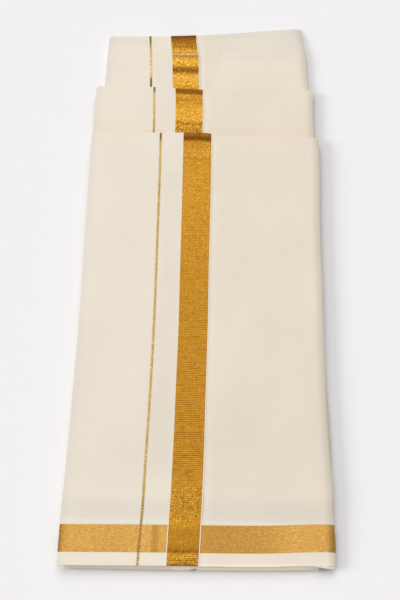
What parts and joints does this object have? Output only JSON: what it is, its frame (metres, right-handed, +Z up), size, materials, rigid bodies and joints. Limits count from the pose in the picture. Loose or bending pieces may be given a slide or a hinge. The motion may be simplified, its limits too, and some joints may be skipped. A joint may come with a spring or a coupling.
{
  "type": "folded dhoti cloth",
  "caption": "Long cream cotton dhoti with woven gold borders, folded along its length, then zigzag folded into a flat pile with stepped folds.",
  "frame": {"origin": "on the surface the cloth lies on, under the middle of the pile's box", "axes": "+Y runs along the folded strip from the cut end to the stepped folds, +Z is up, +X is to the right seen from the cut end"},
  "size_m": [0.3182, 0.7923, 0.0126],
  "materials": {
    "cream_cotton": "matt plain-weave cream cotton with woven gold zari borders",
    "layered_cotton": "matt cream cotton, folded edges of the layers beneath"
  },
  "bodies": {
    "root": {"top_stretch": "cream_cotton", "middle_stretch": "cream_cotton", "lower_stretch": "cream_cotton", "hidden_layers": "layered_cotton"}
  },
  "joints": []
}
